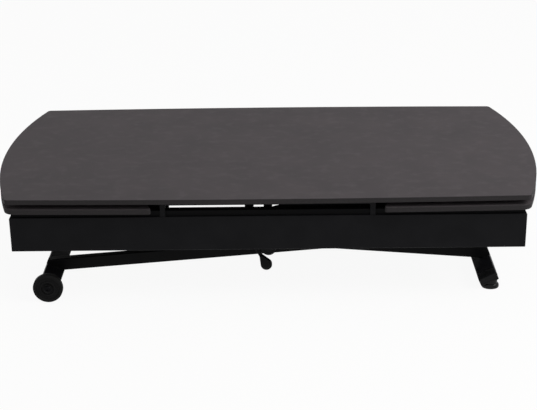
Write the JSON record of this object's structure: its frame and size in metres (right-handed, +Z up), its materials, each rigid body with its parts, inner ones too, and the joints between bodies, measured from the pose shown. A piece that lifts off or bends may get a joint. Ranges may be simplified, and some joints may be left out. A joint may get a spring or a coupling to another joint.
{
  "type": "lift and extend coffee table",
  "caption": "Low coffee table with a barrel-shaped top, leaves that slide out at both ends, and a scissor frame on wheels and feet that lifts it to dining height.",
  "frame": {"origin": "on the floor, under the middle of the top", "axes": "+X along the top towards the feet, -X towards the wheels, -Y the long side with the release lever, +Z up"},
  "size_m": [1.3, 0.67, 0.266],
  "materials": {
    "top_board": "matt dark grey stone-effect laminate on dense board",
    "black_frame_steel": "satin black powder coat",
    "black_slide_metal": "matt black",
    "black_arm_steel": "satin black powder coat",
    "wheel_plastic": "matt black moulded",
    "foot_plastic": "matt black moulded",
    "roller_nylon": "natural nylon",
    "black_bolt_steel": "blackened",
    "zinc_bolt_steel": "zinc plated",
    "rod_chrome": "hard chromed and ground",
    "cylinder_paint": "black enamel",
    "lever_steel": "black",
    "grip_plastic": "soft black",
    "cable_sheath": "black sheath"
  },
  "bodies": {
    "feet": {"foot_front": "foot_plastic", "foot_rear": "foot_plastic"},
    "leaf_left": {"leaf_left": "top_board", "runner_left_front": "black_slide_metal", "runner_left_rear": "black_slide_metal"},
    "leaf_right": {"leaf_right": "top_board", "runner_right_front": "black_slide_metal", "runner_right_rear": "black_slide_metal"},
    "wheel_arms": {"wheel_arm_front": "black_arm_steel", "wheel_arm_rear": "black_arm_steel", "wheel_bar": "black_arm_steel", "wheel_bar_plugs": "foot_plastic", "wheel_axles": "black_bolt_steel", "centre_bolts": "zinc_bolt_steel", "centre_spacers": "zinc_bolt_steel", "wheel_arm_tube": "black_arm_steel", "spring_lugs": "black_arm_steel", "lug_pin": "zinc_bolt_steel", "wheel_arm_caps": "foot_plastic"},
    "foot_arms": {"foot_arm_front": "black_arm_steel", "foot_arm_rear": "black_arm_steel", "foot_bar": "black_arm_steel", "foot_bar_plugs": "foot_plastic", "foot_pins": "zinc_bolt_steel", "roller_axles": "zinc_bolt_steel", "foot_arm_caps": "foot_plastic"},
    "wheel_front": {"wheel_front": "wheel_plastic"},
    "wheel_rear": {"wheel_rear": "wheel_plastic"},
    "roller_front": {"roller_front": "roller_nylon"},
    "roller_rear": {"roller_rear": "roller_nylon"},
    "spring_rod": {"spring_rod": "rod_chrome"},
    "spring_cylinder": {"spring_cylinder": "cylinder_paint"},
    "release_lever": {"release_lever": "lever_steel", "lever_grip": "grip_plastic"},
    "frame": {"apron_front": "black_frame_steel", "apron_left": "black_frame_steel", "apron_rear": "black_frame_steel", "apron_right": "black_frame_steel", "centre_tube_left": "black_frame_steel", "centre_tube_right": "black_frame_steel", "guide_left_front": "black_slide_metal", "guide_left_rear": "black_slide_metal", "guide_right_front": "black_slide_metal", "guide_right_rear": "black_slide_metal", "lever_bracket": "black_frame_steel", "lever_pin": "zinc_bolt_steel", "main_top": "top_board", "pivot_bolts": "zinc_bolt_steel", "pivot_brackets": "black_frame_steel", "pivot_cross_tube": "black_frame_steel", "release_cable": "cable_sheath", "roller_track_front": "black_frame_steel", "roller_track_rear": "black_frame_steel", "spring_bracket": "black_frame_steel", "spring_cross_tube": "black_frame_steel", "spring_pin": "zinc_bolt_steel", "top_bearer_left": "black_frame_steel", "top_bearer_right": "black_frame_steel", "top_rails": "black_frame_steel", "track_cross_tube": "black_frame_steel"}
  },
  "joints": [
    {"name": "left_leaf_slide", "type": "slide", "parent": "frame", "child": "leaf_left", "axis": [-1, 0, 0], "range_m": [0, 0.33]},
    {"name": "right_leaf_slide", "type": "slide", "parent": "frame", "child": "leaf_right", "axis": [1, 0, 0], "range_m": [0, 0.33]},
    {"name": "lift", "type": "hinge", "parent": "feet", "child": "foot_arms", "pos_m": [0.52228, 0, 0.02367], "axis": [0, 1, 0], "range_deg": [0, 29.26]},
    {"name": "scissor", "type": "hinge", "parent": "foot_arms", "child": "wheel_arms", "pos_m": [0, 0, 0.0922], "axis": [0, -1, 0], "range_deg": [0, 58.52]},
    {"name": "upper_pivot", "type": "hinge", "parent": "wheel_arms", "child": "frame", "pos_m": [0.517, 0, 0.1334], "axis": [0, 1, 0], "range_deg": [0, 29.26]},
    {"name": "wheel_front_spin", "type": "hinge", "parent": "wheel_arms", "child": "wheel_front", "pos_m": [-0.517, -0.3025, 0.035], "axis": [0, 1, 0], "continuous": true},
    {"name": "wheel_rear_spin", "type": "hinge", "parent": "wheel_arms", "child": "wheel_rear", "pos_m": [-0.517, 0.3025, 0.035], "axis": [0, 1, 0], "continuous": true},
    {"name": "roller_front_spin", "type": "hinge", "parent": "foot_arms", "child": "roller_front", "pos_m": [-0.517, -0.168, 0.1334], "axis": [0, 1, 0], "continuous": true},
    {"name": "roller_rear_spin", "type": "hinge", "parent": "foot_arms", "child": "roller_rear", "pos_m": [-0.517, 0.168, 0.1334], "axis": [0, 1, 0], "continuous": true},
    {"name": "spring_swing", "type": "hinge", "parent": "frame", "child": "spring_rod", "pos_m": [0.299, 0, 0.178], "axis": [0, -1, 0], "range_deg": [0, 1.79]},
    {"name": "spring_stroke", "type": "slide", "parent": "spring_rod", "child": "spring_cylinder", "axis": [0.6958, 0, -0.7182], "range_m": [0, 0.06346]},
    {"name": "lever_pull", "type": "hinge", "parent": "frame", "child": "release_lever", "pos_m": [-0.024, -0.268, 0.198], "axis": [-1, 0, 0], "range_deg": [0, 15], "stiffness_Nm_per_rad": 0.6}
  ],
  "couplings": [
    {"joint": "scissor", "follows": "lift", "ratio": 2},
    {"joint": "upper_pivot", "follows": "lift", "ratio": 1},
    {"joint": "spring_swing", "follows": "lift", "ratio": 0.0611},
    {"joint": "spring_stroke", "follows": "lift", "m_per_rad": 0.12425}
  ]
}
